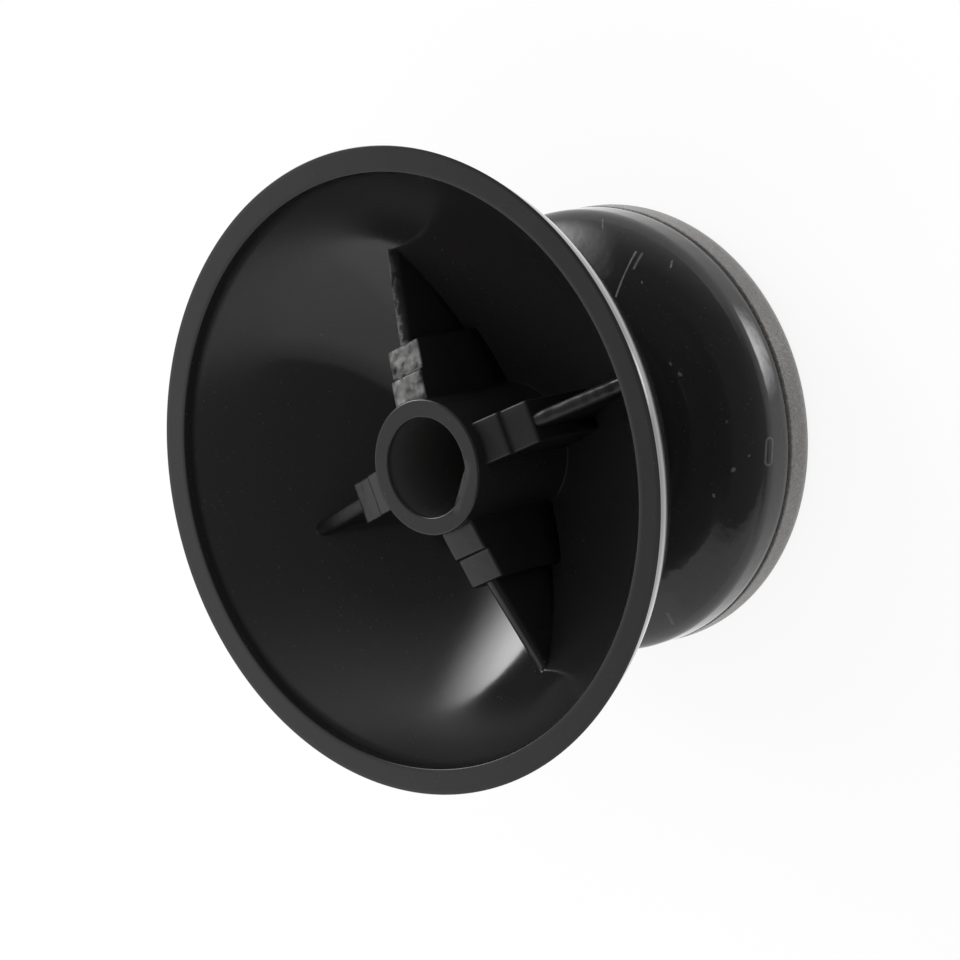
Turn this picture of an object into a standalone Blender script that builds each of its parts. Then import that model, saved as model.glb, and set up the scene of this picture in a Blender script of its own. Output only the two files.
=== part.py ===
"""Thumbstick cap for a game controller.

The cap stands on its thumb pad with the mouth of its skirt up.  The origin is the middle of the
flat ring of the pad that it stands on, +Z runs along the axis out of the mouth, and one rib lies
along +X.  Lengths are in metres.
"""
import math

import bmesh
import bpy
from mathutils import Matrix

# Driving sizes of the skirt, the round bowl that covers the opening round the stick
RIM_RADIUS = 0.0125
RIM_WIDTH = 0.0010
SKIRT_DEPTH = 0.0080
SKIRT_FLOOR = 0.00115

# Driving sizes of the neck between the skirt and the head
NECK_RADIUS = 0.0046
NECK_LENGTH = 0.00251
NECK_FILLET = 0.0005

# Driving sizes of the head, the hard mushroom that carries the thumb pad
HEAD_RADIUS = 0.00895
HEAD_CROWN = 0.0021
HEAD_EDGE = 0.0009
SPIGOT_HEIGHT = 0.0004

# Driving sizes of the thumb pad, the soft top that is bonded to the head
PAD_EDGE_HEIGHT = 0.00168
PAD_FILLET = 0.0010
PAD_LAND_WIDTH = 0.0012
PAD_SKIRT_WIDTH = 0.0015
DISH_DEPTH = 0.0005
BOND_GAP = 0.0003

# Driving sizes of the boss with the D-shaped bore for the stick's post
BORE_RADIUS = 0.00195
BORE_DEPTH = 0.0070
BORE_FLAT_CUT = 0.00025
BORE_FLAT_TURN = math.radians(225)
LEAD_IN_WIDTH = 0.00035
LEAD_IN_SLOPE = math.radians(25)
BOSS_WALL = 0.00071
BOSS_DROP = 0.00143

# Driving sizes of the ribs and of the stepped gusset at each rib's root
RIB_COUNT = 4
RIB_THICKNESS = 0.0006
RIB_ROOT_DROP = 0.00225
RIB_END_DROP = 0.0037
GUSSET_WIDTH = 0.0017
UPPER_STEP_REACH = 0.00105
UPPER_STEP_DROP = 0.0019
LOWER_STEP_REACH = 0.0012
LOWER_STEP_DROP = 0.0022
STEP_SLOPE = math.radians(12)

# Fineness of the round surfaces, and how far a cutter runs past what it cuts
TURN_STEPS = 64
ARC_STEPS = 12
FILLET_STEPS = 4
SHARP_ANGLE = math.radians(35)
OVERCUT = 0.0005
WELD_DISTANCE = 0.000001


class Dome:
    """A cap of a sphere below the rim's level, given by its edge radius and its depth."""

    def __init__(self, edge_radius, depth):
        self.edge_radius = edge_radius
        self.depth = depth
        self.sphere = (edge_radius ** 2 + depth ** 2) / (2 * depth)

    def drop(self, radius):
        """How far the surface lies below the rim's level, this far from the axis."""
        return math.sqrt(self.sphere ** 2 - radius ** 2) - (self.sphere - self.depth)

    def radius(self, drop):
        """How far the surface lies from the axis, this far below the rim's level."""
        return math.sqrt(self.sphere ** 2 - (drop + self.sphere - self.depth) ** 2)

    def profile(self, start_radius, end_radius, steps):
        """Points (radius, height) along the surface, evenly spaced between two radii."""
        start = math.asin(start_radius / self.sphere)
        end = math.asin(end_radius / self.sphere)
        radii = [self.sphere * math.sin(start + (end - start) * i / steps) for i in range(steps + 1)]
        return [(radius, RIM_LEVEL - self.drop(radius)) for radius in radii]


def arc(centre, radius, start, end, steps):
    """Points (radius, height) along an arc of a circle, with its angles in radians."""
    angles = [start + (end - start) * i / steps for i in range(steps + 1)]
    return [(centre[0] + radius * math.cos(a), centre[1] + radius * math.sin(a)) for a in angles]


# Sizes that follow from the driving sizes
BOWL = Dome(RIM_RADIUS - RIM_WIDTH, SKIRT_DEPTH - SKIRT_FLOOR)
SHELL = Dome(RIM_RADIUS, SKIRT_DEPTH)
MID_WALL = Dome(RIM_RADIUS - RIM_WIDTH / 2, SKIRT_DEPTH - SKIRT_FLOOR / 2)
HEAD_EDGE_LEVEL = PAD_EDGE_HEIGHT + BOND_GAP
SPIGOT_RADIUS = HEAD_RADIUS - PAD_SKIRT_WIDTH - BOND_GAP
CROWN_LEVEL = HEAD_EDGE_LEVEL + HEAD_EDGE + HEAD_CROWN
RIM_LEVEL = CROWN_LEVEL + NECK_LENGTH + SHELL.drop(NECK_RADIUS)
BOSS_RADIUS = BORE_RADIUS + BOSS_WALL
BOSS_LEVEL = RIM_LEVEL - BOSS_DROP
FLAT_DISTANCE = BORE_RADIUS - BORE_FLAT_CUT
RIB_START = BORE_RADIUS + BOSS_WALL / 2


def new_collection(name):
    """A collection linked to the scene."""
    collection = bpy.data.collections.new(name)
    bpy.context.scene.collection.children.link(collection)
    return collection


def turned(name, profile, collection):
    """A solid turned about Z from a profile that starts and ends on the axis."""
    mesh = bpy.data.meshes.new(name)
    mesh.from_pydata([(r, 0, z) for r, z in profile], [(i, i + 1) for i in range(len(profile) - 1)], [])
    piece = bpy.data.objects.new(name, mesh)
    collection.objects.link(piece)
    screw = piece.modifiers.new("Turn", "SCREW")
    screw.steps = TURN_STEPS
    screw.render_steps = TURN_STEPS
    screw.use_merge_vertices = True
    screw.merge_threshold = WELD_DISTANCE
    return piece


def plate(name, outline, thickness, placing, collection):
    """A flat outline filled and thickened to both sides, made a welded mesh and placed."""
    curve = bpy.data.curves.new(name, "CURVE")
    curve.dimensions = "2D"
    curve.fill_mode = "BOTH"
    curve.extrude = thickness / 2
    spline = curve.splines.new("POLY")
    spline.points.add(len(outline) - 1)
    for point, (x, y) in zip(spline.points, outline):
        point.co = (x, y, 0, 1)
    spline.use_cyclic_u = True
    drawn = bpy.data.objects.new(name + "_outline", curve)
    collection.objects.link(drawn)
    drawn.matrix_world = placing
    bpy.context.view_layer.update()
    evaluated = drawn.evaluated_get(bpy.context.evaluated_depsgraph_get())
    mesh = bpy.data.meshes.new_from_object(evaluated)
    shape = bmesh.new()
    shape.from_mesh(mesh)
    bmesh.ops.remove_doubles(shape, verts=shape.verts, dist=WELD_DISTANCE)
    bmesh.ops.recalc_face_normals(shape, faces=shape.faces)
    shape.to_mesh(mesh)
    shape.free()
    piece = bpy.data.objects.new(name, mesh)
    collection.objects.link(piece)
    piece.matrix_world = drawn.matrix_world
    bpy.data.objects.remove(drawn)
    return piece


def upright(turn):
    """Places an outline drawn as (radius, height) upright, turned about the axis."""
    return Matrix.Rotation(turn, 4, "Z") @ Matrix.Rotation(math.radians(90), 4, "X")


def combine(piece, operation, other):
    """Joins another solid to the piece or cuts it away, and hides the other."""
    boolean = piece.modifiers.new(other.name, "BOOLEAN")
    boolean.operation = operation
    boolean.solver = "EXACT"
    boolean.object = other
    other.hide_render = True
    other.display_type = "WIRE"


def finish(piece, material):
    """Makes the modifiers' result the piece's own mesh, shaded smooth between its sharp edges."""
    bpy.context.view_layer.update()
    evaluated = piece.evaluated_get(bpy.context.evaluated_depsgraph_get())
    mesh = bpy.data.meshes.new_from_object(evaluated)
    piece.modifiers.clear()
    piece.data = mesh
    mesh.shade_smooth()
    mesh.set_sharp_from_angle(angle=SHARP_ANGLE)
    mesh.materials.clear()
    mesh.materials.append(material)


def plastic(name, colour, roughness):
    """A plain plastic or rubber with a colour and a roughness."""
    material = bpy.data.materials.new(name)
    material.use_nodes = True
    shader = material.node_tree.nodes["Principled BSDF"]
    shader.inputs["Base Color"].default_value = (*colour, 1)
    shader.inputs["Roughness"].default_value = roughness
    shader.inputs["Metallic"].default_value = 0
    return material


def neck_profile():
    """The neck, blended into the shell's outside above it and into the crown below it."""
    fillet = min(NECK_FILLET, 0.4 * NECK_LENGTH)
    reach = NECK_RADIUS + fillet
    sphere_level = RIM_LEVEL + SHELL.sphere - SHELL.depth
    upper_level = sphere_level - math.sqrt((SHELL.sphere + fillet) ** 2 - reach ** 2)
    to_sphere = math.atan2(sphere_level - upper_level, -reach)
    upper = arc((reach, upper_level), fillet, to_sphere, math.pi, FILLET_STEPS)
    lower = arc((reach, CROWN_LEVEL + fillet), fillet, math.pi, 1.5 * math.pi, FILLET_STEPS)
    return upper + lower


def crown_profile():
    """The head's rounded shoulder, a quarter of an ellipse from the neck out to the head's edge."""
    width = HEAD_RADIUS - NECK_RADIUS
    angles = [math.pi / 2 * i / ARC_STEPS for i in range(2, ARC_STEPS + 1)]
    return [(NECK_RADIUS + width * math.sin(a), CROWN_LEVEL - HEAD_CROWN * (1 - math.cos(a)))
            for a in angles]


def body_profile():
    """From the bowl's floor over the rim, down the shell, the neck and the head to the spigot."""
    neck = neck_profile()
    bowl = BOWL.profile(0, BOWL.edge_radius, ARC_STEPS)
    shell = SHELL.profile(SHELL.edge_radius, neck[0][0], ARC_STEPS)[:-1]
    spigot_level = HEAD_EDGE_LEVEL - SPIGOT_HEIGHT
    foot = [(HEAD_RADIUS, HEAD_EDGE_LEVEL), (SPIGOT_RADIUS, HEAD_EDGE_LEVEL),
            (SPIGOT_RADIUS, spigot_level), (0, spigot_level)]
    return bowl + shell + neck + crown_profile() + foot


def pad_profile():
    """From the recess over the spigot, down the pad's side to its flat ring and across its dish."""
    recess_radius = SPIGOT_RADIUS + BOND_GAP
    recess_level = HEAD_EDGE_LEVEL - SPIGOT_HEIGHT - BOND_GAP
    recess = [(0, recess_level), (recess_radius, recess_level), (recess_radius, PAD_EDGE_HEIGHT),
              (HEAD_RADIUS, PAD_EDGE_HEIGHT)]
    fillet_centre = (HEAD_RADIUS - PAD_FILLET, PAD_FILLET)
    side = arc(fillet_centre, PAD_FILLET, 0, -math.pi / 2, 2 * FILLET_STEPS)
    dish_radius = HEAD_RADIUS - PAD_FILLET - PAD_LAND_WIDTH
    dish = [(dish_radius * (1 - i / ARC_STEPS), DISH_DEPTH * (1 - (1 - i / ARC_STEPS) ** 2))
            for i in range(ARC_STEPS + 1)]
    return recess + side + dish


def boss_profile():
    """A round post from inside the bowl's wall up to the boss's end."""
    root_level = RIM_LEVEL - MID_WALL.drop(BOSS_RADIUS)
    return [(0, BOSS_LEVEL), (BOSS_RADIUS, BOSS_LEVEL), (BOSS_RADIUS, root_level), (0, root_level)]


def buried_edge(start_radius, end_radius):
    """The hidden lower edge of a rib or gusset, inside the bowl's wall."""
    return MID_WALL.profile(start_radius, end_radius, ARC_STEPS)


def rib_outline():
    """A thin web, level under the gusset's upper step and from there down to meet the bowl."""
    root_level = RIM_LEVEL - RIB_ROOT_DROP
    end_level = RIM_LEVEL - RIB_END_DROP
    top = [(RIB_START, root_level), (BOSS_RADIUS + UPPER_STEP_REACH, root_level),
           (BOWL.radius(RIB_END_DROP), end_level)]
    return top + buried_edge(MID_WALL.radius(RIB_END_DROP), RIB_START)


def gusset_outline():
    """The thick root of a rib, with two sloping steps down away from the boss."""
    upper_end = BOSS_RADIUS + UPPER_STEP_REACH
    lower_end = upper_end + LOWER_STEP_REACH
    upper_level = RIM_LEVEL - UPPER_STEP_DROP
    upper_end_level = upper_level - UPPER_STEP_REACH * math.tan(STEP_SLOPE)
    lower_level = RIM_LEVEL - LOWER_STEP_DROP
    lower_end_level = lower_level - LOWER_STEP_REACH * math.tan(STEP_SLOPE)
    stairs = [(RIB_START, upper_level), (BOSS_RADIUS, upper_level), (upper_end, upper_end_level),
              (upper_end, lower_level), (lower_end, lower_end_level)]
    return stairs + buried_edge(lower_end, RIB_START)


def bore_outline():
    """A circle with one flat, as seen along the axis, with the flat across +X."""
    half_flat = math.acos(FLAT_DISTANCE / BORE_RADIUS)
    return arc((0, 0), BORE_RADIUS, half_flat, 2 * math.pi - half_flat, 4 * ARC_STEPS)


def lead_in_outline():
    """A triangle that takes the corner off the flat at the boss's end."""
    inside = FLAT_DISTANCE - OVERCUT
    above = BOSS_LEVEL + OVERCUT
    outside = FLAT_DISTANCE + LEAD_IN_WIDTH + OVERCUT / math.tan(LEAD_IN_SLOPE)
    return [(inside, above), (outside, above),
            (inside, BOSS_LEVEL - (LEAD_IN_WIDTH + OVERCUT) * math.tan(LEAD_IN_SLOPE))]


def make_body(parts, cutters):
    """The hard moulding: skirt, ribs, gussets, bored boss, neck and head in one piece."""
    body = turned("stick_body", body_profile(), parts)
    combine(body, "UNION", turned("boss_solid", boss_profile(), cutters))
    for i in range(RIB_COUNT):
        turn = 2 * math.pi * i / RIB_COUNT
        gusset = plate(f"gusset_solid_{i}", gusset_outline(), GUSSET_WIDTH, upright(turn), cutters)
        rib = plate(f"rib_solid_{i}", rib_outline(), RIB_THICKNESS, upright(turn), cutters)
        combine(body, "UNION", gusset)
        combine(body, "UNION", rib)
    bore_length = BORE_DEPTH + OVERCUT
    bore_middle = BOSS_LEVEL + OVERCUT - bore_length / 2
    flat_turn = Matrix.Rotation(BORE_FLAT_TURN, 4, "Z")
    bore_placing = Matrix.Translation((0, 0, bore_middle)) @ flat_turn
    bore = plate("bore_cutter", bore_outline(), bore_length, bore_placing, cutters)
    flat_width = 2 * math.sqrt(BORE_RADIUS ** 2 - FLAT_DISTANCE ** 2)
    lead_in = plate("lead_in_cutter", lead_in_outline(), flat_width, upright(BORE_FLAT_TURN), cutters)
    combine(body, "DIFFERENCE", bore)
    combine(body, "DIFFERENCE", lead_in)
    return body


def build():
    """Clears the scene and models the cap's two pieces."""
    for leftover in list(bpy.data.objects):
        bpy.data.objects.remove(leftover)
    parts = new_collection("thumbstick_cap")
    cutters = new_collection("cutters")
    finish(make_body(parts, cutters), plastic("gloss_black_plastic", (0.011, 0.011, 0.012), 0.14))
    pad = turned("thumb_pad", pad_profile(), parts)
    finish(pad, plastic("black_rubber", (0.035, 0.033, 0.032), 0.75))


build()
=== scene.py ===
"""Looks of the thumbstick cap: a glossy black moulding with a matte rubber thumb pad.

The cap stands on its pad with its mouth up, and the camera looks down into the mouth.  Shapes are
worked out in millimetres and written into the meshes in metres.  In the camera's picture +X is up,
+Y is left and -Y is right.
"""
import math

import bpy
import numpy as np
from mathutils import Matrix, Vector


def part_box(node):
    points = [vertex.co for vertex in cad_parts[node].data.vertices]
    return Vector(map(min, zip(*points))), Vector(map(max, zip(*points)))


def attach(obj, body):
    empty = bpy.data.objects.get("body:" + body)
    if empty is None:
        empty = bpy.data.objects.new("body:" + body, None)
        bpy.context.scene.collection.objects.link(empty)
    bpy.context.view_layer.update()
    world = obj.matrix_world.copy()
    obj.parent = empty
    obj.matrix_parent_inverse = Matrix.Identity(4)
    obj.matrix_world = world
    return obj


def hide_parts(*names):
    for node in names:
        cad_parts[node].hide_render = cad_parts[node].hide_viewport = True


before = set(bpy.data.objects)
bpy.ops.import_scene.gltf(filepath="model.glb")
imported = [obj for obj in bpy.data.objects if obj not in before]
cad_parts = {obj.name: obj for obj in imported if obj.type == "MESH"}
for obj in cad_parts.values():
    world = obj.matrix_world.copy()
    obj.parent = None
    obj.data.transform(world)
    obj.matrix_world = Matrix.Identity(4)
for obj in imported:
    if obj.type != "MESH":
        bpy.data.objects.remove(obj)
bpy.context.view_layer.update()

MM = 0.001

# Levels and radii of the moulding, in millimetres.  The bowl and the shell round it are parts of two
# spheres, and a steep lip joins the bowl to the rim.
RIM_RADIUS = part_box("stick_body")[1].x / MM
RIM_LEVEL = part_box("stick_body")[1].z / MM
RIM_WIDTH = 1.0
BOWL_DEPTH = 7.05
LIP_DEPTH = 0.45
LIP_RADIUS = RIM_RADIUS - RIM_WIDTH - 0.04
SHELL_DEPTH = 8.0
RIM_ROUNDING = 0.03
RIM_CORNER = 0.03
SHELL_BULGE = 0.09
BULGE_REACH = 5.0
NECK_RADIUS = 4.6
NECK_FILLET = 0.5
HEAD_RADIUS = 8.95
CROWN_LEVEL = 4.98
CROWN_HEIGHT = 2.1
CROWN_START = 0.13
HEAD_EDGE_LEVEL = 1.97
EDGE_ROUNDING = 0.05

# The boss and its D-shaped bore, in millimetres.  The bore's mouth and the boss's end slope down
# beside the flat, over the land and the soft top, and the land ends at its reach to either side.
BOSS_RADIUS = 2.66
BOSS_LEVEL = RIM_LEVEL - 1.43
BOSS_ROUNDING = 0.09
BOSS_FILLET = 0.06
BORE_RADIUS = 1.95
BORE_DEPTH = 7.0
BORE_ROUNDING = 0.05
FLAT_DISTANCE = 1.7
FLAT_TURN = math.radians(225)
LEAD_IN_DEPTH = 0.12
LEAD_IN_SLOPE = math.radians(25)
SOFT_TOP = 0.3
LAND_EDGE = 2.15
LAND_SLOPE = math.radians(14)
LAND_MOST = 1.2
LAND_REACH = 1.25
LAND_FADE = 0.6
LAND_START = 0.12

# The ribs and the stepped gussets at their roots, in millimetres
RIB_THICKNESS = 0.6
RIB_ROOT_DROP = 2.25
RIB_END_DROP = 3.7
RIB_END = 8.51
RIB_ROUNDING = 0.27
RIB_FOOT = 8.95
RIB_FOOT_LENGTH = 0.5
RIB_FILLET = 0.08
RIB_COVER = 0.06
RIB_SIDE = 0.03
BACK_SINK = 0.02
GUSSET_WIDTH = 1.7
GUSSET_ROUNDING = 0.10
UPPER_STEP_END = BOSS_RADIUS + 1.05
UPPER_STEP_DROP = 1.9
LOWER_STEP_END = BOSS_RADIUS + 2.25
LOWER_STEP_DROP = 2.05
STEP_GAP = 0.03
STEP_SLOPE = math.tan(math.radians(12))
ROOT_INSIDE = 0.3
WALL_SINK = 0.4

# The rubber pad, in millimetres
PAD_TOP = 1.75
PAD_FILLET = 1.0
PAD_LAND_WIDTH = 1.2
PAD_SKIRT_WIDTH = 1.5
DISH_DEPTH = 0.5
SPIGOT_DROP = 0.4
SPIGOT_GAP = 0.07

TURN_STEPS = 256

# Finishes: base colours, the sizes and heights of their patterns in millimetres, and how much each
# pattern counts in the height, the colour or the roughness
GLOSS_BLACK = (0.0126, 0.0117, 0.0119, 1)
# Painted shade: a darker copy of the gloss black for the ribs and gussets
PAINTED_SHADE_BLACK = (0.0095, 0.0089, 0.0090, 1)
# Pale grey for scratches and dust, and for painted light on the bore's wall and floor
WEAR_AND_PAINTED_LIGHT_GREY = (0.130, 0.127, 0.124, 1)
# Painted highlight: a pale grey laid on faces that look up on the +X gusset and ribs, for the lamp's
# reflection
PAINTED_HIGHLIGHT_GREY = (0.150, 0.146, 0.143, 1)
RUBBER_LOW = (0.058, 0.055, 0.052, 1)
RUBBER_HIGH = (0.195, 0.186, 0.178, 1)
WHITE = (1, 1, 1, 1)
PAPER = (0.90, 0.90, 0.90, 1)
CLOUD_SIZE = 3.5
WAVE_SIZE = 1.8
RIPPLE_SIZE = 0.5
PEEL_SIZE = 0.45
GRAIN_SIZE = 0.22
SPECK_SIZE = 0.10
PEBBLE_SIZE = 0.42
PEBBLE_HEIGHT = 0.05
RUBBER_GRAIN_SIZE = 0.11
RUBBER_GRAIN_HEIGHT = 0.035
RUBBER_BLOTCH_SIZE = 1.5
BREAK_SIZE = 0.12
# Size of the patches of painted highlight on the +X gusset and rib
PAINTED_HIGHLIGHT_SIZE = 0.5
RIPPLE_SHARE = 0.2
PEEL_SHARE = 2.2
SPECKS_SHOW = 0.16
# Painted light: how much paler the bore's wall and floor are made, to lift their shade
BORE_PAINTED_LIGHT_SHOWS = 0.36
# How much the painted highlight shows on the +X gusset and rib
PAINTED_HIGHLIGHT_SHOWS = 0.8
# Painted highlight: how pale the +Y rib's back is made
PAINTED_RIB_HIGHLIGHT_SHOWS = 0.24
SCRATCH_ROUGHNESS = 0.3
DULL_ROUGHNESS = 0.17
COARSE_ROUGHNESS = 0.16

# The set: its radii in metres, the share of the floor's white that is its own light, the shades of
# the cards, the glow on the floor in millimetres, and the lamp's aim in millimetres and its fading
FLOOR_RADIUS = 3.0
CARDS_RADIUS = 2.95
FLOOR_LIGHT = 0.88
CARD_SHADE = 0.095
CARD_PALER = 0.15
FLOOR_CARD_SHADE = 0.22
GLOW_X = 0.7
GLOW_RADIUS = 11.25
GLOW_LENGTH = 3.4
GLOW_WIDTH = 0.95
GLOW_STRENGTH = 6.0
GLOW_MOTTLE_SIZE = 0.4
PAD_GLOW = 0.25
LAMP_AIM = 10
LAMP_FADING = 4.5

# The camera: its place and its axes from the rim's middle, in millimetres, and its focal length in
# pixels of the picture
VIEW_TURN = -19.3
VIEW_RIGHT = (-0.0946, -0.7576, -0.6459)
VIEW_UP = (0.9894, 0, -0.1449)
VIEW_AHEAD = (-0.1098, 0.6527, -0.7496)
VIEW_FROM = (17.04, -106.87, 118.21)
FOCAL_LENGTH = 4202.7
PICTURE_WIDTH = 960


def arc(centre, radius, start, end, steps):
    """Points (r, z) = centre + radius (cos a, sin a), with a from start to end degrees."""
    a = np.radians(np.linspace(start, end, steps + 1))
    return np.stack([centre[0] + radius * np.cos(a), centre[1] + radius * np.sin(a)], -1)


def line(start, end, steps):
    """Points (r, z) evenly spaced on a straight line."""
    t = np.linspace(0, 1, steps + 1)[:, None]
    return (1 - t) * np.array(start) + t * np.array(end)


def ball(edge_radius, edge_level, depth):
    """Radius R and centre's level of the sphere through (edge_radius, edge_level), depth deep under it.

    R = (edge_radius^2 + depth^2) / (2 depth).
    """
    sphere = (edge_radius ** 2 + depth ** 2) / (2 * depth)
    return sphere, edge_level + sphere - depth


BOWL_SPHERE, BOWL_CENTRE = ball(LIP_RADIUS, RIM_LEVEL - LIP_DEPTH, BOWL_DEPTH - LIP_DEPTH)
SHELL_SPHERE, SHELL_CENTRE = ball(RIM_RADIUS, RIM_LEVEL, SHELL_DEPTH)


def dome(sphere, centre, start_radius, end_radius, steps):
    """Points on the under side of a sphere: r = R sin a, z = centre - R cos a."""
    start, end = math.asin(start_radius / sphere), math.asin(end_radius / sphere)
    angles = np.linspace(start, end, steps + 1)
    return np.stack([sphere * np.sin(angles), centre - sphere * np.cos(angles)], -1)


def lattice(points, first_pole, last_pole):
    """Vertices, quads and end triangles of a closed skin over rings of points, with two poles."""
    rows, steps, _ = points.shape
    vertices = np.concatenate([[first_pole], points.reshape(-1, 3), [last_pole]])
    here = np.arange(steps)
    beside = (here + 1) % steps
    ring = 1 + np.arange(rows - 1)[:, None] * steps
    quads = np.stack([ring + here, ring + beside, ring + steps + beside, ring + steps + here], -1)
    last = len(vertices) - 1
    start_fan = np.stack([np.zeros(steps, int), 1 + beside, 1 + here], -1)
    end_fan = np.stack([np.full(steps, last), last - steps + here, last - steps + beside], -1)
    return vertices, quads.reshape(-1, 4), np.concatenate([start_fan, end_fan])


def skin(name, parts, material):
    """One mesh object from several closed lattices, smooth, with its normals facing out."""
    vertices, faces = [], []
    count = 0
    for points, quads, fans in parts:
        vertices.append(points)
        faces += (quads + count).tolist() + (fans + count).tolist()
        count += len(points)
    mesh = bpy.data.meshes.new(name)
    mesh.from_pydata((np.concatenate(vertices) * MM).tolist(), [], faces)
    mesh.shade_smooth()
    mesh.materials.append(material)
    piece = bpy.data.objects.new(name, mesh)
    bpy.context.scene.collection.objects.link(piece)
    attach(piece, "root")
    return piece


def turned(radius, level):
    """Rings of points (r cos u, r sin u, z) from radii and levels, one row to a ring."""
    u = np.linspace(0, 2 * np.pi, TURN_STEPS, endpoint=False)
    return np.stack([radius * np.cos(u), radius * np.sin(u), level + 0 * u], -1)


def bored_boss():
    """Radii and levels of the bore's floor and wall and of the boss's end, ring by ring.

    The wall's radius is min(bore, flat / cos u) with u measured from the flat, and the flat's distance
    grows by (z - z0) / tan(slope) over its lead-in.  The end dips by w tan(slope) p^2 / 2 next to it,
    where w is the land's width and p the share of it that is passed, fading past the flat's two ends
    as t^2 (3 - 2 t), and the top of the wall comes down with it.
    """
    u = np.linspace(0, 2 * np.pi, TURN_STEPS, endpoint=False) - FLAT_TURN
    facing = np.maximum(np.cos(u), 1e-3)
    floor = BOSS_LEVEL - BORE_DEPTH
    mouth = BOSS_LEVEL - BORE_ROUNDING
    wall = np.concatenate([
        line((BORE_RADIUS, floor), (BORE_RADIUS, BOSS_LEVEL - SOFT_TOP), 10),
        line((BORE_RADIUS, BOSS_LEVEL - SOFT_TOP + 0.02), (BORE_RADIUS, mouth), 10)[1:],
        arc((BORE_RADIUS + BORE_ROUNDING, mouth), BORE_ROUNDING, 180, 90, 6)[1:]])
    rise = np.maximum(wall[:, 1] - (BOSS_LEVEL - LEAD_IN_DEPTH), 0)
    reach = FLAT_DISTANCE + rise / math.tan(LEAD_IN_SLOPE)
    wall_radius = np.minimum(wall[:, :1], reach[:, None] / facing)
    share = np.linspace(0, 1, 26)[1:, None]
    end_radius = (1 - share) * wall_radius[-1] + share * (BOSS_RADIUS - BOSS_ROUNDING)
    across = end_radius * np.cos(u)
    land = LAND_EDGE - FLAT_DISTANCE
    past = np.minimum(np.clip(LAND_EDGE - across, 0, None) / land, LAND_MOST)
    beside = np.clip((LAND_REACH - np.abs(end_radius * np.sin(u))) / LAND_FADE, 0, 1)
    beside = beside ** 2 * (3 - 2 * beside)
    near_flat = np.clip((across - FLAT_DISTANCE + LAND_START) / LAND_START, 0, 1)
    dip = 0.5 * land * math.tan(LAND_SLOPE) * past ** 2 * beside * near_flat
    end_level = BOSS_LEVEL - dip
    level = wall[:, 1:]
    drop = dip[0] * np.clip((level - BOSS_LEVEL + SOFT_TOP) / SOFT_TOP, 0, 1)
    inner = np.array([0.4, 0.8, 0.97])[:, None] * wall_radius[0]
    return (np.concatenate([inner, wall_radius, end_radius]),
            np.concatenate([np.full(inner.shape, floor), level - drop, end_level]))


def bulged(shell):
    """The shell's points pushed out by b sin(pi t) (1 - t), with t the share of the bulge's reach.

    The distance along the shell is R acos(n . n0), from the rim's edge at n0 to the point at n.
    """
    outward = (shell - (0, SHELL_CENTRE)) / SHELL_SPHERE
    along = SHELL_SPHERE * np.arccos(np.clip(outward @ outward[0], -1, 1))
    t = np.minimum(along / BULGE_REACH, 1)[:, None]
    return shell + outward * SHELL_BULGE * np.sin(np.pi * t) * (1 - t)


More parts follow.
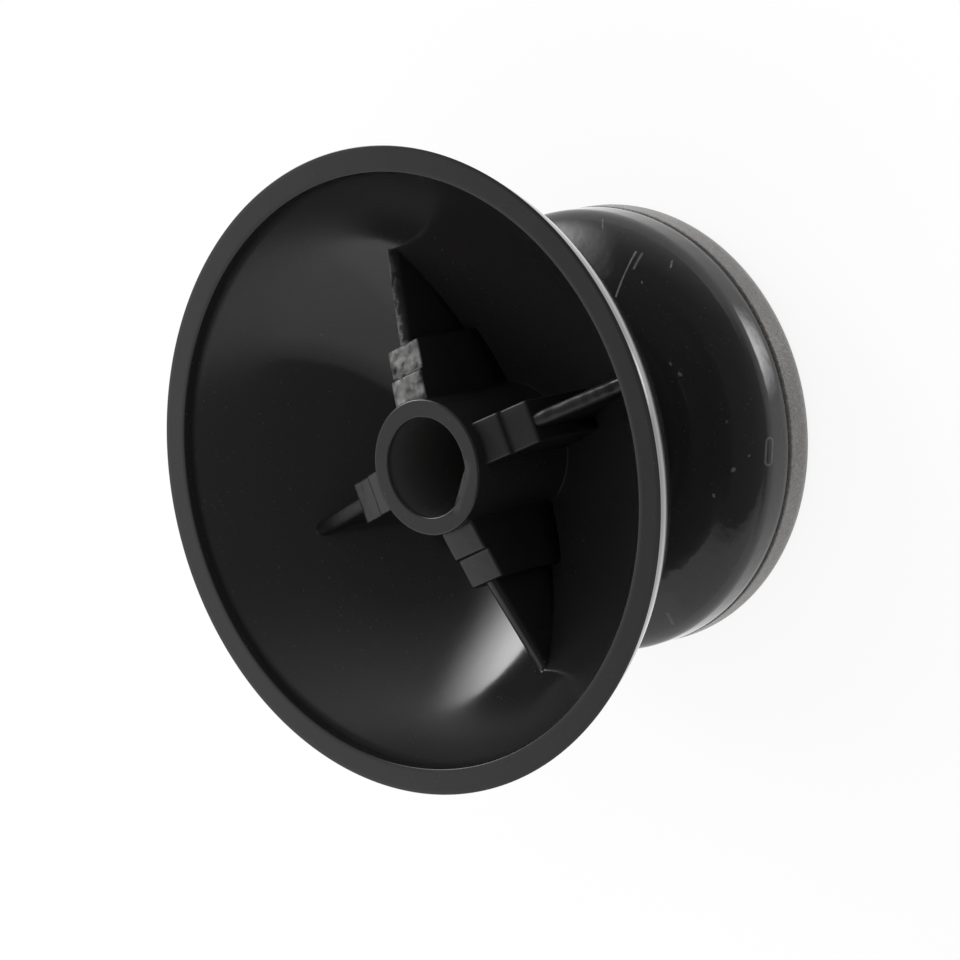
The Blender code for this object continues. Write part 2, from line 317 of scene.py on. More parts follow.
def body_outline():
    """Points (r, z) from the boss's outer edge over the bowl, rim, shell, neck and head to its foot.

    A fillet against a sphere of radius R has its centre at the distance R - f from the sphere's
    centre inside it, or R + f outside it.  The crown is r = n + (h - n) sin a, z = c - k (1 - cos a),
    from where the neck's fillet leaves it.
    """
    fillet_radius = BOSS_RADIUS + BOSS_FILLET
    fillet_level = BOWL_CENTRE - math.sqrt((BOWL_SPHERE - BOSS_FILLET) ** 2 - fillet_radius ** 2)
    fillet_end = math.degrees(math.atan2(fillet_level - BOWL_CENTRE, fillet_radius))
    foot = fillet_radius * BOWL_SPHERE / (BOWL_SPHERE - BOSS_FILLET)
    boss = np.concatenate([
        arc((BOSS_RADIUS - BOSS_ROUNDING, BOSS_LEVEL - BOSS_ROUNDING), BOSS_ROUNDING, 80, 0, 6),
        line((BOSS_RADIUS, BOSS_LEVEL - BOSS_ROUNDING), (BOSS_RADIUS, fillet_level), 8)[1:],
        arc((fillet_radius, fillet_level), BOSS_FILLET, 180, 360 + fillet_end, 6)[1:]])
    inner = RIM_RADIUS - RIM_WIDTH
    bowl = dome(BOWL_SPHERE, BOWL_CENTRE, foot, LIP_RADIUS - 0.10, 70)[1:]
    lip = RIM_LEVEL - LIP_DEPTH
    lip_corner = [(LIP_RADIUS - 0.05, lip - 0.05), (LIP_RADIUS - 0.015, lip + 0.03),
                  (LIP_RADIUS, lip + 0.12)]
    inner_corner = [(inner + 0.30 * RIM_ROUNDING, RIM_LEVEL - 0.32 * RIM_ROUNDING),
                    (inner + 0.75 * RIM_ROUNDING, RIM_LEVEL - 0.06 * RIM_ROUNDING)]
    outer_corner = [(RIM_RADIUS - 0.5 * RIM_CORNER, RIM_LEVEL - 0.12 * RIM_CORNER),
                    (RIM_RADIUS - 0.12 * RIM_CORNER, RIM_LEVEL - 0.5 * RIM_CORNER)]
    rim = np.concatenate([
        lip_corner,
        line((LIP_RADIUS, lip + 0.16), (inner, RIM_LEVEL - RIM_ROUNDING), 4),
        inner_corner,
        line((inner + 1.3 * RIM_ROUNDING, RIM_LEVEL), (RIM_RADIUS - 1.1 * RIM_CORNER, RIM_LEVEL), 6),
        outer_corner])
    neck_reach = NECK_RADIUS + NECK_FILLET
    neck_level = SHELL_CENTRE - math.sqrt((SHELL_SPHERE + NECK_FILLET) ** 2 - neck_reach ** 2)
    to_shell = math.degrees(math.atan2(SHELL_CENTRE - neck_level, -neck_reach))
    shell_end = neck_reach * SHELL_SPHERE / (SHELL_SPHERE + NECK_FILLET)
    shell_start = RIM_RADIUS - 0.16 * RIM_CORNER
    shell = bulged(dome(SHELL_SPHERE, SHELL_CENTRE, shell_start, shell_end, 90)[1:])
    neck = np.concatenate([
        arc((neck_reach, neck_level), NECK_FILLET, to_shell, 180, 8)[1:],
        arc((neck_reach, CROWN_LEVEL + NECK_FILLET), NECK_FILLET, 180, 262, 8)[1:]])
    a = np.linspace(CROWN_START, np.pi / 2, 60)
    crown = np.stack([NECK_RADIUS + (HEAD_RADIUS - NECK_RADIUS) * np.sin(a),
                      CROWN_LEVEL - CROWN_HEIGHT * (1 - np.cos(a))], -1)
    c = EDGE_ROUNDING
    side = np.concatenate([
        line(crown[-1], (HEAD_RADIUS, HEAD_EDGE_LEVEL + c), 4)[1:],
        arc((HEAD_RADIUS - c, HEAD_EDGE_LEVEL + c), c, 0, -90, 5)[1:]])
    spigot = HEAD_RADIUS - PAD_SKIRT_WIDTH - SPIGOT_GAP
    foot_line = np.array([(spigot + c, HEAD_EDGE_LEVEL), (spigot, HEAD_EDGE_LEVEL - c),
                          (spigot, HEAD_EDGE_LEVEL - SPIGOT_DROP + c),
                          (spigot - c, HEAD_EDGE_LEVEL - SPIGOT_DROP),
                          (spigot / 2, HEAD_EDGE_LEVEL - SPIGOT_DROP)])
    return np.concatenate([boss, bowl, rim, shell, neck, crown, side, foot_line])


def body_part():
    """The whole moulding but its ribs, as one closed skin from the bore's floor to the spigot's face."""
    bore_radius, bore_level = bored_boss()
    outline = body_outline()
    full = np.ones(TURN_STEPS)
    radius = np.concatenate([bore_radius, outline[:, :1] * full])
    level = np.concatenate([bore_level, outline[:, 1:] * full])
    points = turned(radius, level)
    return lattice(points, (0, 0, BOSS_LEVEL - BORE_DEPTH), (0, 0, HEAD_EDGE_LEVEL - SPIGOT_DROP))


def bar(turn, distance, half_width, top, bottom, rounding):
    """A closed bar along a ray from the axis, its section rounded on the two top edges.

    The section runs up one side, over the top and down the other: w = (h - c) s + c cos a and
    z = t - c + c sin a on the rounded corners, for half width h, top t and rounding c.
    """
    a = np.radians(np.linspace(0, 90, 7))
    side = np.concatenate([np.ones(7), -np.ones(7)])
    out = np.concatenate([np.cos(a), -np.cos(a[::-1])])
    lift = np.concatenate([np.sin(a), np.sin(a[::-1])])
    c = np.minimum(rounding, 0.9 * half_width)[:, None]
    w = (half_width[:, None] - c) * side + c * out
    z = top[:, None] - c + c * lift
    legs = np.array([0.66, 0.33, 0.0])
    down = bottom[:, None] + (z[:, -1:] - bottom[:, None]) * legs
    up = bottom[:, None] + (z[:, :1] - bottom[:, None]) * legs[::-1]
    h = half_width[:, None] + 0 * legs
    w = np.concatenate([w, -h, h], 1)
    z = np.concatenate([z, down, up], 1)
    r = distance[:, None] + 0 * w
    cosine, sine = math.cos(turn), math.sin(turn)
    points = np.stack([r * cosine - w * sine, r * sine + w * cosine, z], -1)
    return lattice(points, points[0].mean(0), points[-1].mean(0))


def bowl_level(radius):
    """The level of the bowl's surface at each distance from the axis."""
    return BOWL_CENTRE - np.sqrt(BOWL_SPHERE ** 2 - radius ** 2)


def rib_part(turn):
    """A thin web with a round back: level under the gusset, then straight down to the bowl's surface.

    Where the line meets the bowl the back is (a + b + sqrt((a - b)^2 + k^2)) / 2 of the two levels,
    a small fillet, and the width closes over the last part as sqrt(1 - t^2).
    """
    distance = np.linspace(BOSS_RADIUS - ROOT_INSIDE, RIB_FOOT, 90)
    slope = (RIB_END_DROP - RIB_ROOT_DROP) / (RIB_END - UPPER_STEP_END)
    back = RIM_LEVEL - RIB_ROOT_DROP - slope * np.maximum(distance - UPPER_STEP_END, 0)
    bowl = bowl_level(distance) - BACK_SINK
    top = 0.5 * (back + bowl + np.sqrt((back - bowl) ** 2 + RIB_FILLET ** 2))
    under = RIM_LEVEL - LOWER_STEP_DROP - STEP_SLOPE * (distance - BOSS_RADIUS) - RIB_COVER
    top = np.where(distance < LOWER_STEP_END, np.minimum(top, under), top)
    t = np.clip((distance - RIB_FOOT + RIB_FOOT_LENGTH) / RIB_FOOT_LENGTH, 0, 0.999)
    half = RIB_THICKNESS / 2 * np.sqrt(1 - t ** 2)
    bottom = np.minimum(bowl_level(distance) - WALL_SINK, top - RIB_ROUNDING - RIB_SIDE)
    return bar(turn, distance, half, top, bottom, np.full(distance.shape, RIB_ROUNDING))


def gusset_part(turn):
    """A sloping block in two steps, each one's far end rounded on a quarter circle.

    Its top is z = rim - drop - slope (r - boss), with the first drop up to the first end and the
    second after it, less c (1 - cos a) over the last c of each step.
    """
    a = np.radians(np.linspace(0, 90, 7))[1:]
    c = GUSSET_ROUNDING
    rounded, onward = c * (1 - np.cos(a)), c * np.sin(a)
    upper = np.linspace(BOSS_RADIUS - ROOT_INSIDE, UPPER_STEP_END - c, 12)
    lower = np.linspace(UPPER_STEP_END + STEP_GAP, LOWER_STEP_END - c, 12)
    distance = np.concatenate([upper, UPPER_STEP_END - c + onward, lower, LOWER_STEP_END - c + onward])
    drop = np.concatenate([UPPER_STEP_DROP + 0 * upper, UPPER_STEP_DROP + rounded,
                           LOWER_STEP_DROP + 0 * lower, LOWER_STEP_DROP + rounded])
    top = RIM_LEVEL - drop - STEP_SLOPE * np.maximum(distance - BOSS_RADIUS, 0)
    half = np.full(distance.shape, GUSSET_WIDTH / 2)
    half[-len(rounded):] -= rounded
    return bar(turn, distance, half, top, bowl_level(distance) - WALL_SINK, np.full(distance.shape, c))


def pad_part():
    """The rubber pad, from the recess over the spigot down its side and across its dish."""
    recess = HEAD_RADIUS - PAD_SKIRT_WIDTH
    level = PAD_TOP - SPIGOT_DROP
    c = EDGE_ROUNDING
    land = HEAD_RADIUS - PAD_FILLET - PAD_LAND_WIDTH
    t = np.linspace(1, 0.02, 40)
    dish = np.stack([land * t, DISH_DEPTH * (1 - t ** 2)], -1)
    outline = np.concatenate([
        [(recess / 2, level), (recess - c, level), (recess, level + c), (recess, PAD_TOP - c)],
        line((recess + c, PAD_TOP), (HEAD_RADIUS - c, PAD_TOP), 6),
        arc((HEAD_RADIUS - c, PAD_TOP - c), c, 90, 0, 5)[1:],
        line((HEAD_RADIUS, PAD_TOP - c), (HEAD_RADIUS, PAD_FILLET), 6)[1:],
        arc((HEAD_RADIUS - PAD_FILLET, PAD_FILLET), PAD_FILLET, 0, -90, 20)[1:],
        dish])
    full = np.ones(TURN_STEPS)
    points = turned(outline[:, :1] * full, outline[:, 1:] * full)
    return lattice(points, (0, 0, level), (0, 0, DISH_DEPTH))


class Socket:
    """A number that a material's nodes work out, used with ordinary arithmetic."""

    def __init__(self, tree, value):
        self.tree = tree
        self.value = value

    def made(self, operation, *others, clamp=False):
        """The result of a Math node on this number and the others."""
        maths = self.tree.nodes.new("ShaderNodeMath")
        maths.operation = operation
        maths.use_clamp = clamp
        for slot, given in zip(maths.inputs, (self, *others)):
            plug(self.tree, slot, given)
        return Socket(self.tree, maths.outputs[0])

    def __add__(self, other):
        return self.made("ADD", other)

    __radd__ = __add__

    def __sub__(self, other):
        return self.made("SUBTRACT", other)

    def __rsub__(self, other):
        return (self * -1) + other

    def __mul__(self, other):
        return self.made("MULTIPLY", other)

    __rmul__ = __mul__

    def __truediv__(self, other):
        return self.made("DIVIDE", other)

    def clipped(self):
        """The number, held between 0 and 1."""
        return self.made("ADD", 0.0, clamp=True)

    def most(self, other):
        """The greater of the two numbers."""
        return self.made("MAXIMUM", other)

    def ramp(self, low, high):
        """0 at low and 1 at high, straight between them."""
        return ((self - low) * (1 / (high - low))).clipped()

    def smooth(self, low, high):
        """0 at low and 1 at high, easing at both ends: t^2 (3 - 2 t)."""
        t = self.ramp(low, high)
        return t * t * (3 - 2 * t)


def plug(tree, slot, given):
    """Links a socket into a node's input, or sets the input's own value."""
    if isinstance(given, Socket):
        tree.links.new(given.value, slot)
    elif isinstance(given, bpy.types.NodeSocket):
        tree.links.new(given, slot)
    else:
        slot.default_value = given


def node(tree, kind, settings=(), inputs=()):
    """A node of a kind, with its settings and its inputs given by name."""
    made = tree.nodes.new(kind)
    for name, value in dict(settings).items():
        setattr(made, name, value)
    for name, value in dict(inputs).items():
        plug(tree, made.inputs[name], value)
    return made


def place(tree):
    """The point on the piece in millimetres, from Object coordinates."""
    coordinates = node(tree, "ShaderNodeTexCoord")
    scaled = node(tree, "ShaderNodeVectorMath", {"operation": "SCALE"},
                  {0: coordinates.outputs["Object"], "Scale": 1 / MM})
    return scaled.outputs[0]


def axes(tree, vector):
    """The three numbers of a vector."""
    split = node(tree, "ShaderNodeSeparateXYZ", (), {0: vector})
    return [Socket(tree, output) for output in split.outputs]


def noise(tree, point, size, detail, roughness):
    """Noise from 0 to 1 whose blobs are about size millimetres across."""
    made = node(tree, "ShaderNodeTexNoise", (),
                {"Vector": point, "Scale": 1 / size, "Detail": detail, "Roughness": roughness})
    return Socket(tree, made.outputs["Fac"])


def faded(tree, value, low, high, top=1.0):
    """0 where the value is at low and top where it is at high, easing between; low may be the larger."""
    made = node(tree, "ShaderNodeMapRange", {"interpolation_type": "SMOOTHSTEP"},
                {"Value": value, "From Min": low, "From Max": high, "To Min": 0.0, "To Max": top})
    return Socket(tree, made.outputs["Result"])


def flat_colour(tree, colour):
    """The output of one even colour."""
    made = node(tree, "ShaderNodeRGB")
    made.outputs[0].default_value = colour
    return made.outputs[0]


def blended(tree, share, low, high):
    """The colour low where the share is 0 and high where it is 1."""
    made = node(tree, "ShaderNodeMix", {"data_type": "RGBA"}, {0: share.clipped(), 6: low, 7: high})
    return made.outputs[2]


def bumped(tree, height, under=None):
    """The normal of a surface raised by a height in millimetres, over another bump if one is given."""
    inputs = {"Strength": 1.0, "Distance": MM, "Height": height}
    if under is not None:
        inputs["Normal"] = under
    return node(tree, "ShaderNodeBump", (), inputs).outputs[0]


def new_material(name):
    """A new material, its node tree and shader, and the point on the piece in millimetres."""
    material = bpy.data.materials.new(name)
    material.use_nodes = True
    tree = material.node_tree
    return material, tree, tree.nodes["Principled BSDF"], place(tree)


def near_stroke(tree, point, start, end, press=1.0):
    """The distance in mm from the point to a straight stroke, with levels counted press times."""
    start, end = (Vector((x, y, z * press)) for x, y, z in (start, end))
    along = end - start
    offset = node(tree, "ShaderNodeVectorMath", {"operation": "SUBTRACT"}, {0: point, 1: start})
    dot = node(tree, "ShaderNodeVectorMath", {"operation": "DOT_PRODUCT"},
               {0: offset.outputs[0], 1: along / along.length_squared})
    share = Socket(tree, dot.outputs["Value"]).clipped()
    reach = node(tree, "ShaderNodeVectorMath", {"operation": "SCALE"}, {0: along, "Scale": share})
    miss = node(tree, "ShaderNodeVectorMath", {"operation": "DISTANCE"},
                {0: offset.outputs[0], 1: reach.outputs[0]})
    return Socket(tree, miss.outputs["Value"])


# Scratches: the two ends of each stroke, its half width and its strength.  Levels count PRESS times,
# so that a stroke stays on the curved surface between its ends.
SCRATCHES = [
    ((5.52, -6.04, 4.07), (4.18, -4.91, 4.78), 0.060, 1.0),
    ((5.35, -6.26, 4.03), (4.93, -5.90, 4.36), 0.075, 0.6),
    ((7.42, -4.63, 3.51), (7.03, -4.73, 3.83), 0.035, 0.6),
    ((4.62, -7.27, 3.69), (4.40, -7.23, 3.84), 0.05, 0.8),
    ((4.29, -6.11, 4.46), (4.24, -6.11, 4.47), 0.045, 0.7),
    ((0.85, -6.29, 4.80), (0.78, -6.31, 4.80), 0.07, 0.5),
    ((0.33, -6.50, 4.77), (0.25, -6.56, 4.76), 0.08, 0.6),
    ((-3.90, -6.96, 4.20), (-3.93, -6.90, 4.22), 0.09, 0.6),
    ((-4.52, -5.82, 4.50), (-4.58, -5.80, 4.50), 0.07, 0.7),
    ((-3.64, -7.61, 3.87), (-3.62, -7.64, 3.86), 0.05, 0.6),
    ((-2.09, -7.53, 4.30), (-2.13, -7.50, 4.31), 0.07, 0.25),
    ((-8.06, -1.26, 4.09), (-8.45, -1.08, 3.80), 0.10, 0.3),
    ((7.12, 3.92, 10.69), (7.05, 4.00, 10.69), 0.09, 0.25),
    ((-7.95, 1.80, 10.70), (-7.90, 1.90, 10.70), 0.09, 0.3),
]
PRESS = 0.3
OVAL_MARK = ((-3.39, -8.25, 3.14), (-4.06, -7.92, 3.19), 0.16, 0.06)


def scratched(tree, point):
    """How scratched the surface is, from 0 to 1: thin broken strokes and one oval ring."""
    breaks = noise(tree, point, BREAK_SIZE, 3.0, 0.7).smooth(0.30, 0.62)
    pressed = node(tree, "ShaderNodeVectorMath", {"operation": "MULTIPLY"}, {0: point, 1: (1, 1, PRESS)})
    total = None
    for start, end, half_width, strength in SCRATCHES:
        miss = near_stroke(tree, pressed.outputs[0], start, end, PRESS)
        stroke = faded(tree, miss, half_width, 0.35 * half_width, strength)
        total = stroke if total is None else total.most(stroke)
    start, end, reach, half_width = OVAL_MARK
    around = near_stroke(tree, point, start, end) - reach
    ring = faded(tree, around.made("ABSOLUTE"), half_width, 0.4 * half_width, 0.5)
    return total.most(ring) * (0.6 + 0.4 * breaks)


def in_bore(across, z):
    """1 on the bore's wall and floor, from the squared distance to the axis and the level."""
    inside = across.ramp(BORE_RADIUS ** 2 + 0.04, BORE_RADIUS ** 2 - 0.02)
    return inside * z.ramp(BOSS_LEVEL, BOSS_LEVEL - SOFT_TOP)


def on_head(z):
    """1 under the neck and 0 above it."""
    return z.smooth(CROWN_LEVEL + 0.12, CROWN_LEVEL - 0.08)


def dulled(x, y, z, across):
    """How dull the moulding is: 1 on the bowl near its lip and at its foot, and 1.2 on the head's crown.

    The foot and the crown are dull on one side only, towards -Y and towards +X with -Y.  The bowl is
    what lies inside its sphere, grown by 0.15 to 0.35 mm.
    """
    from_centre = across + (z - BOWL_CENTRE) * (z - BOWL_CENTRE)
    in_bowl = from_centre.smooth((BOWL_SPHERE + 0.35) ** 2, (BOWL_SPHERE + 0.15) ** 2)
    inside_lip = across.smooth((LIP_RADIUS + 0.09) ** 2, (LIP_RADIUS - 0.06) ** 2)
    near_lip = across.smooth(9.0 ** 2, 10.6 ** 2) * inside_lip
    near_foot = across.smooth(8.6 ** 2, 7.0 ** 2) * y.smooth(0.5, -1.5)
    on_crown = z.smooth(3.5, 3.9) * on_head(z) * x.smooth(4.0, 6.0) * y.smooth(-6.0, -4.5)
    return in_bowl * near_lip.most(near_foot) + 1.2 * on_crown


def plastic(name, shade, waviness, roughness, spread):
    """Glossy black moulded plastic: faint waves, uneven gloss, scratches and a little dust.

    Its height is the waviness times broad waves, fine ripples and, on the head, an orange peel.  Its
    roughness spreads round its own value with clouds and grain, and rises on scratches and where the
    moulding is dull.  Its colour turns to a pale grey on scratches and specks of dust, which are wear,
    and on the bore's wall and floor, which is painted light that lifts the bore's shade.
    """
    material, tree, shader, point = new_material(name)
    x, y, z = axes(tree, point)
    across = x * x + y * y
    scratch = scratched(tree, point)
    clouds = noise(tree, point, CLOUD_SIZE, 2.0, 0.6)
    grain = noise(tree, point, GRAIN_SIZE, 1.0, 0.6)
    specks = faded(tree, noise(tree, point, SPECK_SIZE, 0.0, 0.5), 0.79, 0.83)
    # Scratches and dust specks are wear; the paler bore is painted light that lifts its shade
    wear_and_painted_light = scratch + SPECKS_SHOW * specks + BORE_PAINTED_LIGHT_SHOWS * in_bore(across, z)
    colour = blended(tree, wear_and_painted_light, flat_colour(tree, shade), flat_colour(tree, WEAR_AND_PAINTED_LIGHT_GREY))
    plug(tree, shader.inputs["Base Color"], colour)
    uneven = spread * (clouds - 0.5) + 0.25 * spread * (grain - 0.5)
    marks = SCRATCH_ROUGHNESS * scratch + DULL_ROUGHNESS * dulled(x, y, z, across)
    plug(tree, shader.inputs["Roughness"], roughness + uneven + marks)
    waves = noise(tree, point, WAVE_SIZE, 0.0, 0.4)
    ripples = noise(tree, point, RIPPLE_SIZE, 0.0, 0.5)
    peel = noise(tree, point, PEEL_SIZE, 1.0, 0.5) * on_head(z)
    height = waviness * (waves + RIPPLE_SHARE * ripples + PEEL_SHARE * peel)
    plug(tree, shader.inputs["Normal"], bumped(tree, height))
    shader.inputs["IOR"].default_value = 1.5
    return material


def painted_highlight_share(tree, point, x, y, upward):
    """How much painted highlight the faces that look up get: pale patches on the +X gusset and rib, and
    a pale streak on the +Y rib, which stand in for the lamp's reflection.

    The patches spare a line at the gusset's step, and take in only one side of the rib's back.
    """
    on_gusset = x.smooth(LOWER_STEP_END + 0.15, LOWER_STEP_END + 0.05)
    off_step = (x - UPPER_STEP_END - 0.04).made("ABSOLUTE").smooth(0.04, 0.09)
    highlight_area = on_gusset.most(y.smooth(0.0, 0.15)) * off_step * x.smooth(0.5, 2.5)
    patches = noise(tree, point, PAINTED_HIGHLIGHT_SIZE, 3.0, 0.6).smooth(0.30, 0.60)
    # Painted highlight: a pale streak along the +Y rib's back beyond its gusset
    rib_highlight = y.smooth(8.4, 6.0) * y.smooth(LOWER_STEP_END - 0.16, LOWER_STEP_END + 0.04)
    return (PAINTED_HIGHLIGHT_SHOWS * patches * highlight_area + PAINTED_RIB_HIGHLIGHT_SHOWS * rib_highlight) * upward


def moulded_edges(name):
    """The same plastic on the ribs and gussets, in a darker black that is painted shade: rougher, with a
    pebbled top and pale patches of painted highlight.

    The pebbles lie on faces that look up, most on the +X gusset and some on the -Y rib.
    """
    # Painted shade: the ribs and gussets take a darker black than the rest of the moulding
    material = plastic(name, PAINTED_SHADE_BLACK, waviness=0.002, roughness=0.22, spread=0.08)
    tree = material.node_tree
    shader = tree.nodes["Principled BSDF"]
    point = place(tree)
    x, y = axes(tree, point)[:2]
    normal = node(tree, "ShaderNodeNewGeometry").outputs["Normal"]
    upward = axes(tree, normal)[2].ramp(0.25, 0.8)
    coarse = x.smooth(0.5, 2.5)
    share = 0.2 + 2.6 * coarse + 0.8 * y.smooth(-4.9, -5.2)
    smooth_roughness = Socket(tree, shader.inputs["Roughness"].links[0].from_socket)
    plug(tree, shader.inputs["Roughness"], smooth_roughness + COARSE_ROUGHNESS * coarse)
    without_painted_highlight = shader.inputs["Base Color"].links[0].from_socket
    # Painted highlight: faces that look up on the +X gusset and rib, and on the +Y rib, turn pale grey
    painted_highlight = painted_highlight_share(tree, point, x, y, upward)
    colour = blended(tree, painted_highlight, without_painted_highlight, flat_colour(tree, PAINTED_HIGHLIGHT_GREY))
    plug(tree, shader.inputs["Base Color"], colour)
    pebbles = noise(tree, point, PEBBLE_SIZE, 0.0, 0.5) * upward * share
    under = shader.inputs["Normal"].links[0].from_socket
    plug(tree, shader.inputs["Normal"], bumped(tree, PEBBLE_HEIGHT * pebbles, under))
    return material


def rubber(name):
    """Matte black rubber with a fine grain, a little paler where the grain stands up."""
    material, tree, shader, point = new_material(name)
    grain = noise(tree, point, RUBBER_GRAIN_SIZE, 3.0, 0.65)
    blotches = noise(tree, point, RUBBER_BLOTCH_SIZE, 2.0, 0.5)
    pale = 0.7 * grain.smooth(0.35, 0.75) + 0.3 * blotches
    colour = blended(tree, pale, flat_colour(tree, RUBBER_LOW), flat_colour(tree, RUBBER_HIGH))
    plug(tree, shader.inputs["Base Color"], colour)
    plug(tree, shader.inputs["Roughness"], 0.30 + 0.20 * grain)
    plug(tree, shader.inputs["Normal"], bumped(tree, RUBBER_GRAIN_HEIGHT * grain))
    shader.inputs["Sheen Weight"].default_value = 0.2
    shader.inputs["Sheen Roughness"].default_value = 0.5
    return material


def linked(name, vertices, faces):
    """A mesh object in the scene."""
    mesh = bpy.data.meshes.new(name)
    mesh.from_pydata(vertices, [], faces)
    made = bpy.data.objects.new(name, mesh)
    bpy.context.scene.collection.objects.link(made)
    return made


def disc_mesh(name, radii, level, steps=96):
    """A flat disc, or a ring round a hole, of points (r cos u, r sin u, level), facing up."""
    u = np.linspace(0, 2 * np.pi, steps, endpoint=False)
    radii = np.asarray(radii)[:, None]
    points = np.stack([radii * np.cos(u), radii * np.sin(u), level + 0 * (radii + u)], -1)
    here = np.arange(steps)
    beside = (here + 1) % steps
    ring = np.arange(len(radii) - 1)[:, None] * steps
    quads = np.stack([ring + here, ring + steps + here, ring + steps + beside, ring + beside], -1)
    return linked(name, points.reshape(-1, 3).tolist(), quads.reshape(-1, 4).tolist())


def stage_material(name):
    """An empty material for the set, whose light isn't sampled as a lamp's is."""
    material = bpy.data.materials.new(name)
    material.use_nodes = True
    material.node_tree.nodes.remove(material.node_tree.nodes["Principled BSDF"])
    material.cycles.emission_sampling = "NONE"
    return material


def shown(tree, surface):
    """Makes a shader the one that its material shows."""
    plug(tree, tree.nodes["Material Output"].inputs["Surface"], surface)


def mixed(tree, share, first, second):
    """The first shader where the share is 0 and the second where it is 1."""
    return node(tree, "ShaderNodeMixShader", (), {0: share, 1: first, 2: second}).outputs[0]


def glowing(tree, strength):
    """White light of a strength."""
    return node(tree, "ShaderNodeEmission", (), {"Color": WHITE, "Strength": strength}).outputs[0]


def only_reflected(cards, shadow=True):
    """Keeps cards out of the camera's sight and out of matte light."""
    cards.visible_camera = False
    cards.visible_diffuse = False
    cards.visible_shadow = shadow


def light_floor():
    """A wide pale floor that shows as white and keeps the object's shadow."""
    floor = disc_mesh("floor", (0.0, FLOOR_RADIUS), -0.01 * MM)
    material = stage_material("pale_floor")
    tree = material.node_tree
    path = node(tree, "ShaderNodeLightPath")
    seen = Socket(tree, path.outputs["Is Camera Ray"]) + Socket(tree, path.outputs["Is Glossy Ray"])
    seen = seen + Socket(tree, path.outputs["Is Transmission Ray"])
    paint = node(tree, "ShaderNodeBsdfDiffuse", (), {"Color": PAPER}).outputs[0]
    shown(tree, mixed(tree, (FLOOR_LIGHT * seen).clipped(), paint, glowing(tree, 1.0)))
    floor.data.materials.append(material)


def half_sphere(name, radius, rows, steps):
    """A half sphere on the floor: R (cos a cos u, cos a sin u, sin a), with a pole at its top."""
    a = np.linspace(0, np.pi / 2, rows, endpoint=False)[:, None]
    u = np.linspace(0, 2 * np.pi, steps, endpoint=False)
    points = radius * np.stack([np.cos(a) * np.cos(u), np.cos(a) * np.sin(u), np.sin(a) + 0 * u], -1)
    vertices = np.concatenate([points.reshape(-1, 3), [(0, 0, radius)]])
    here = np.arange(steps)
    beside = (here + 1) % steps
    ring = np.arange(rows - 1)[:, None] * steps
    quads = np.stack([ring + here, ring + beside, ring + steps + beside, ring + steps + here], -1)
    last_ring = (rows - 1) * steps
    fan = np.stack([np.full(steps, rows * steps), last_ring + here, last_ring + beside], -1)
    return linked(name, vertices.tolist(), quads.reshape(-1, 4).tolist() + fan.tolist())


def wall_openings(x, y, z):
    """How open the dark cards are in the direction (x, y, z) from the object: the most of three walls.

    The left one ends where q = -0.17 x + 0.985 y - 0.8 z falls to its limit, in a soft step and then
    a sharp one, and fades towards +X.  The right one grows with p = (x cos 35 + y sin 35) / c, where
    c = sqrt(1 - z^2), and fades upwards.  The far one is towards +Y, up to z = 0.66 to 0.87.
    """
    q = -0.17 * x + 0.985 * y - 0.8 * z
    left_wall = 0.42 * q.smooth(-0.55, -0.36) + 0.36 * q.smooth(-0.585, -0.545)
    left_wall = left_wall + 0.08 * q.smooth(-0.45, 0.1)
    left_wall = 0.92 * left_wall * x.smooth(0.25, -0.2)
    level = (1 - z * z).most(0.001).made("SQRT")
    p = (0.819 * x + 0.574 * y) / level
    right_wall = p.smooth(-0.35, 0.75) * (0.80 - 1.05 * z).clipped()
    far_wall = 0.95 * y.smooth(0.1, 0.5) * z.smooth(0.87, 0.66)
    return left_wall.most(right_wall).most(far_wall).clipped()


def dark_cards():
    """A half sphere of dark card round the set, open where the set's white walls show.

    The card is palest at the floor: its shade is s + p (1 - z)^2, with z that of the direction.
    """
    cards = half_sphere("dark_cards", CARDS_RADIUS, rows=40, steps=96)
    cards.data.shade_smooth()
    material = stage_material("dark_card")
    tree = material.node_tree
    outward = node(tree, "ShaderNodeTexCoord").outputs["Object"]
    unit = node(tree, "ShaderNodeVectorMath", {"operation": "NORMALIZE"}, {0: outward})
    x, y, z = axes(tree, unit.outputs[0])
    shade = CARD_SHADE + CARD_PALER * (1 - z) * (1 - z)
    clear = node(tree, "ShaderNodeBsdfTransparent").outputs[0]
    shown(tree, mixed(tree, wall_openings(x, y, z), glowing(tree, shade), clear))
    cards.data.materials.append(material)
    only_reflected(cards)


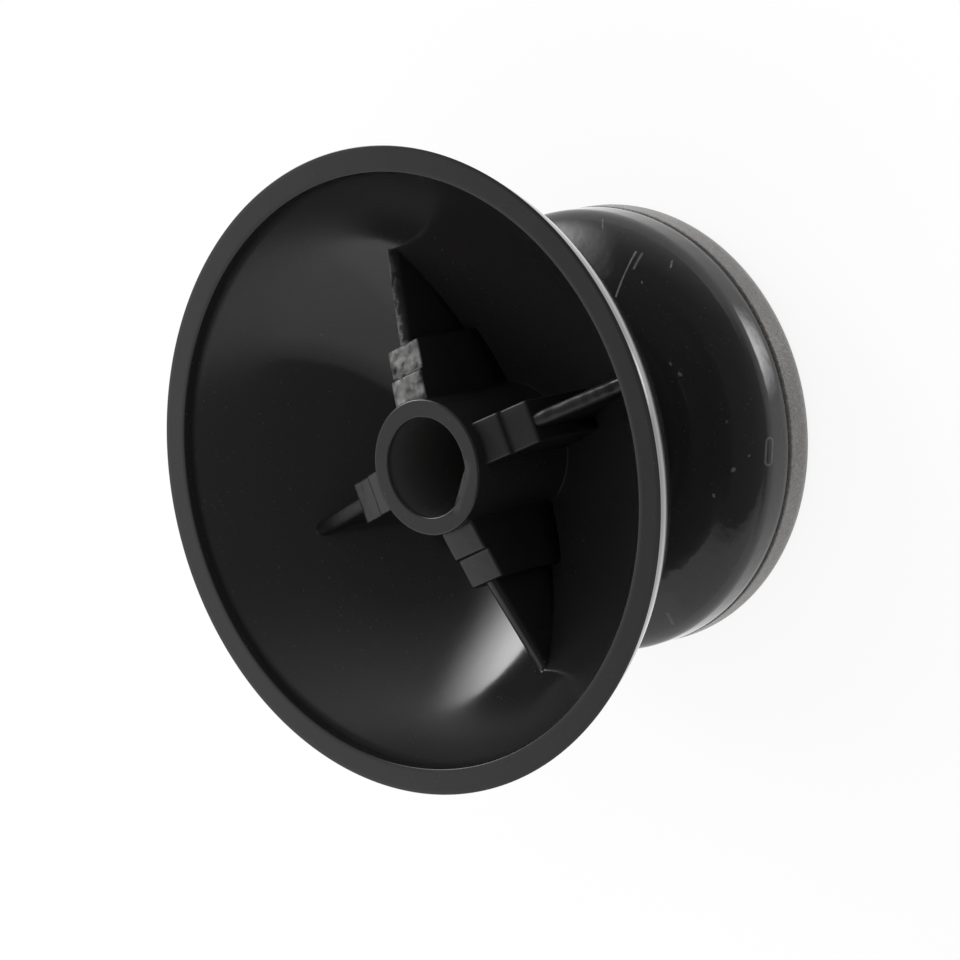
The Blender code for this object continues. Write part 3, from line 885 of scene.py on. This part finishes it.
def floor_cards():
    """A dark card on the floor at the camera's side and a pale glow under the rim, for reflections only.

    The card darkens with c = cos(azimuth + 108 degrees) and with the radius from 10.5 to 26 mm.  The
    glow is a mottled spot on the -Y side, s m f^2 with f = 1 - ((x - x0)^2 / a^2 + (r - r0)^2 / b^2)
    for its strength s, middle (x0, r0) and half sizes a and b, and a faint ring round the pad.
    """
    radii = np.concatenate([[9.0], np.geomspace(9.6, 2900, 24)]) * MM
    cards = disc_mesh("floor_cards", radii, 0.03 * MM)
    material = stage_material("floor_card")
    tree = material.node_tree
    point = place(tree)
    x, y = axes(tree, point)[:2]
    radius = (x * x + y * y).made("SQRT")
    c = (-0.309 * x - 0.951 * y) / radius
    dark = 0.95 * c.smooth(0.62, 0.97) * radius.smooth(10.5, 26)
    mottled = 0.6 + 0.8 * noise(tree, point, GLOW_MOTTLE_SIZE, 2.0, 0.6)
    beside, outside = x - GLOW_X, radius - GLOW_RADIUS
    spot = beside * beside * (1 / GLOW_LENGTH ** 2) + outside * outside * (1 / GLOW_WIDTH ** 2)
    fade = (1 - spot.most(faded(tree, y, -6, -3))).clipped()
    glow = PAD_GLOW * radius.smooth(11.0, 9.6) + GLOW_STRENGTH * mottled * fade * fade
    clear = node(tree, "ShaderNodeBsdfTransparent").outputs[0]
    card = mixed(tree, dark, clear, glowing(tree, FLOOR_CARD_SHADE))
    shown(tree, node(tree, "ShaderNodeAddShader", (), {0: card, 1: glowing(tree, glow)}).outputs[0])
    cards.data.materials.append(material)
    only_reflected(cards, shadow=False)


def lamp(name, azimuth, elevation, distance, degrees_wide, radiance):
    """A round soft lamp that faces the object: (1 - d^2)^p bright from its middle to its edge."""
    data = bpy.data.lights.new(name, "AREA")
    data.shape = "DISK"
    data.size = 2 * distance * math.tan(math.radians(degrees_wide / 2))
    data.energy = radiance * math.pi * math.pi * (data.size / 2) ** 2
    data.use_nodes = True
    tree = data.node_tree
    across = node(tree, "ShaderNodeVectorMath", {"operation": "SUBTRACT"},
                  {0: node(tree, "ShaderNodeNewGeometry").outputs["Parametric"], 1: (0.5, 0.5, 0)})
    u, v = axes(tree, across.outputs[0])[:2]
    squared = (u * u + v * v) * 4
    strength = (1 - squared).clipped().made("POWER", LAMP_FADING)
    plug(tree, tree.nodes["Emission"].inputs["Strength"], strength)
    made = bpy.data.objects.new(name, data)
    a, e = math.radians(azimuth), math.radians(elevation)
    towards = Vector((math.cos(e) * math.cos(a), math.cos(e) * math.sin(a), math.sin(e)))
    made.location = towards * distance + Vector((0, 0, LAMP_AIM * MM))
    made.rotation_euler = towards.to_track_quat("Z", "Y").to_euler()
    bpy.context.scene.collection.objects.link(made)


def white_world():
    """An even white world, strength 1, that isn't sampled as a lamp is."""
    world = bpy.data.worlds.new("white_room")
    world.use_nodes = True
    background = world.node_tree.nodes["Background"]
    background.inputs["Color"].default_value = WHITE
    background.inputs["Strength"].default_value = 1.0
    world.cycles.sampling_method = "NONE"
    bpy.context.scene.world = world


def camera():
    """The photograph's view: its place, its turn about the line of sight and its narrow angle.

    The view was worked out from the rim's middle, with +Y straight left in the picture.  Here it is
    turned about the object's axis, to where the ribs are, and lifted to the rim's level.
    """
    turn = Matrix.Rotation(math.radians(VIEW_TURN), 3, "Z")
    right, up, ahead = ((turn @ Vector(axis)).normalized() for axis in (VIEW_RIGHT, VIEW_UP, VIEW_AHEAD))
    data = bpy.data.cameras.new("camera")
    data.sensor_width = 36
    data.lens = FOCAL_LENGTH / PICTURE_WIDTH * data.sensor_width
    data.clip_start = 0.001
    made = bpy.data.objects.new("camera", data)
    bpy.context.scene.collection.objects.link(made)
    position = (turn @ Vector(VIEW_FROM) + Vector((0, 0, RIM_LEVEL))) * MM
    made.matrix_world = Matrix.Translation(position) @ Matrix((right, up, -ahead)).transposed().to_4x4()
    bpy.context.scene.camera = made


gloss_black = plastic("gloss_black", GLOSS_BLACK, waviness=0.004, roughness=0.085, spread=0.03)
body = skin("stick_body_skin", [body_part()], gloss_black)
turns = [math.pi / 2 * i for i in range(4)]
webs = [rib_part(turn) for turn in turns]
blocks = [gusset_part(turn) for turn in turns]
ribs = skin("rib_skin", webs + blocks, moulded_edges("moulded_edges"))
pad = skin("thumb_pad_skin", [pad_part()], rubber("black_rubber_grain"))
for piece in (body, ribs):
    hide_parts("stick_body")
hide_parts("thumb_pad")

light_floor()
dark_cards()
floor_cards()
lamp("key_lamp", azimuth=33, elevation=19, distance=0.5, degrees_wide=64, radiance=8.6)
white_world()
bpy.context.scene.view_settings.view_transform = "Standard"
camera()
